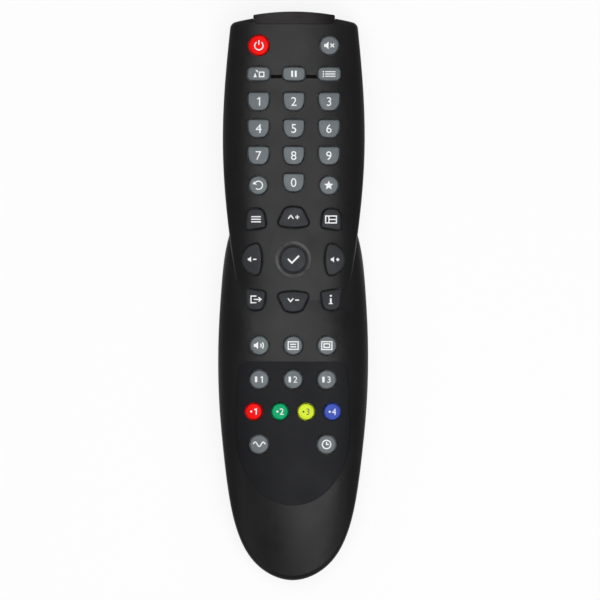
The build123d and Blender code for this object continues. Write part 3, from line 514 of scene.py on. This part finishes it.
def print_symbol(key, marks, material):
    """Lays the marks on the key's top as a thin closed film."""
    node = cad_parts[key]
    low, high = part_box(key)
    middle = (low + high) / 2
    top = BVHTree.FromPolygons(
        [v.co for v in node.data.vertices], [tuple(p.vertices) for p in node.data.polygons]
    )
    film = bmesh.new()
    for corners, faces in marks:
        points = [film.verts.new((*corner, 0)) for corner in corners]
        for face in faces:
            film.faces.new([points[i] for i in face])
    for axis in (Vector((1, 0, 0)), Vector((0, 1, 0))):
        for step in range(-GRID_REACH, GRID_REACH + 1):
            everything = film.verts[:] + film.edges[:] + film.faces[:]
            cut = axis * step * GRID_STEP
            bmesh.ops.bisect_plane(film, geom=everything, dist=CUT_SNAP, plane_co=cut, plane_no=axis)
    bmesh.ops.triangulate(film, faces=film.faces[:])
    for point in film.verts:
        x, y = middle.x + point.co.x * MM, middle.y + point.co.y * MM
        hit = top.ray_cast(Vector((x, y, high.z + RAY_LIFT * MM)), Vector((0, 0, -1)))[0]
        point.co = hit + Vector((0, 0, FILM * MM))
    lower = bmesh.ops.extrude_face_region(film, geom=film.faces[:])["geom"]
    bmesh.ops.translate(
        film,
        verts=[g for g in lower if isinstance(g, bmesh.types.BMVert)],
        vec=(0, 0, -2 * FILM * MM),
    )
    bmesh.ops.recalc_face_normals(film, faces=film.faces[:])
    mesh = bpy.data.meshes.new("symbol_" + key.removeprefix("key_"))
    film.to_mesh(mesh)
    film.free()
    mesh.materials.append(material)
    piece = bpy.data.objects.new(mesh.name, mesh)
    bpy.context.scene.collection.objects.link(piece)
    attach(piece, key)


for suffix, marks in symbols.items():
    print_symbol("key_" + suffix, marks, black_ink if suffix == "yellow" else white_ink)


# ================================================================ floor, room, lamps and camera
def seen_rays(tree):
    """1 for rays that show the backdrop: to the camera, in a reflection or through glass."""
    rays = tree.nodes.new("ShaderNodeLightPath")
    direct = maths(tree, "MAXIMUM", rays.outputs["Is Camera Ray"], rays.outputs["Is Glossy Ray"])
    return maths(tree, "MAXIMUM", direct, rays.outputs["Is Transmission Ray"])


def make_floor():
    """A pale floor that shows white and keeps a soft shadow."""
    half = FLOOR_SIZE / 2
    level = cad_low.z - FLOOR_DROP * MM
    mesh = bpy.data.meshes.new("floor")
    mesh.from_pydata(
        [(-half, -half, level), (half, -half, level), (half, half, level), (-half, half, level)],
        [],
        [(0, 1, 2, 3)],
    )
    floor = bpy.data.objects.new("floor", mesh)
    bpy.context.scene.collection.objects.link(floor)
    material, tree, shader = start_finish("floor", FLOOR_SHADE, roughness=0.9, specular=0)
    toned(tree, shader, FLOOR_SHADE, spread=0.01, size=300)
    glow = tree.nodes.new("ShaderNodeEmission")
    share = maths(tree, "MULTIPLY", seen_rays(tree), FLOOR_GLOW)
    mix = tree.nodes.new("ShaderNodeMixShader")
    tree.links.new(share, mix.inputs["Fac"])
    tree.links.new(shader.outputs["BSDF"], mix.inputs[1])
    tree.links.new(glow.outputs["Emission"], mix.inputs[2])
    tree.links.new(mix.outputs["Shader"], tree.nodes["Material Output"].inputs["Surface"])
    mesh.materials.append(material)


def make_room():
    """A dim room for the light, and a white backdrop to be seen."""
    world = bpy.data.worlds.new("room")
    bpy.context.scene.world = world
    world.use_nodes = True
    tree = world.node_tree
    dim = tree.nodes["Background"]
    dim.inputs["Color"].default_value = (1, 1, 1, 1)
    dim.inputs["Strength"].default_value = ROOM_LEVEL
    white = tree.nodes.new("ShaderNodeBackground")
    white.inputs["Color"].default_value = (1, 1, 1, 1)
    mix = tree.nodes.new("ShaderNodeMixShader")
    tree.links.new(seen_rays(tree), mix.inputs["Fac"])
    tree.links.new(dim.outputs["Background"], mix.inputs[1])
    tree.links.new(white.outputs["Background"], mix.inputs[2])
    tree.links.new(mix.outputs["Shader"], tree.nodes["World Output"].inputs["Surface"])


def softbox(name, location, box):
    """A rectangular lamp that faces the object and isn't seen by the camera."""
    width, length = box["size"]
    light = bpy.data.lights.new(name, "AREA")
    light.shape = "RECTANGLE"
    light.size, light.size_y = width, length
    light.energy = box["radiance"] * math.pi * width * length
    lamp = bpy.data.objects.new(name, light)
    lamp.location = location
    lamp.rotation_euler = (-Vector(location)).to_track_quat("-Z", "Y").to_euler()
    lamp.visible_camera = False
    bpy.context.scene.collection.objects.link(lamp)


def make_lamps():
    """One softbox overhead and four that lean in from the corners."""
    softbox("ceiling_box", CEILING_BOX["place"], CEILING_BOX)
    tilt = math.radians(CORNER_BOXES["tilt"])
    across, level = CORNER_BOXES["away"] * math.sin(tilt), CORNER_BOXES["away"] * math.cos(tilt)
    for turn in CORNER_TURNS:
        heading = math.radians(turn)
        location = (across * math.cos(heading), across * math.sin(heading), level)
        softbox(f"corner_box_{turn}", location, CORNER_BOXES)


def make_camera():
    """A camera that looks straight down from far off."""
    camera_data = bpy.data.cameras.new("camera")
    camera_data.sensor_width = SENSOR
    camera_data.lens = SENSOR * CAMERA_DISTANCE / SHOWN_WIDTH
    camera = bpy.data.objects.new("camera", camera_data)
    camera.location = Vector((*SHOWN_CENTRE, SHOWN_HEIGHT + CAMERA_DISTANCE)) * MM
    camera.rotation_euler = (0, 0, CAMERA_ROLL)
    bpy.context.scene.collection.objects.link(camera)
    bpy.context.scene.camera = camera


make_floor()
make_room()
make_lamps()
make_camera()
bpy.context.scene.view_settings.view_transform = "Standard"
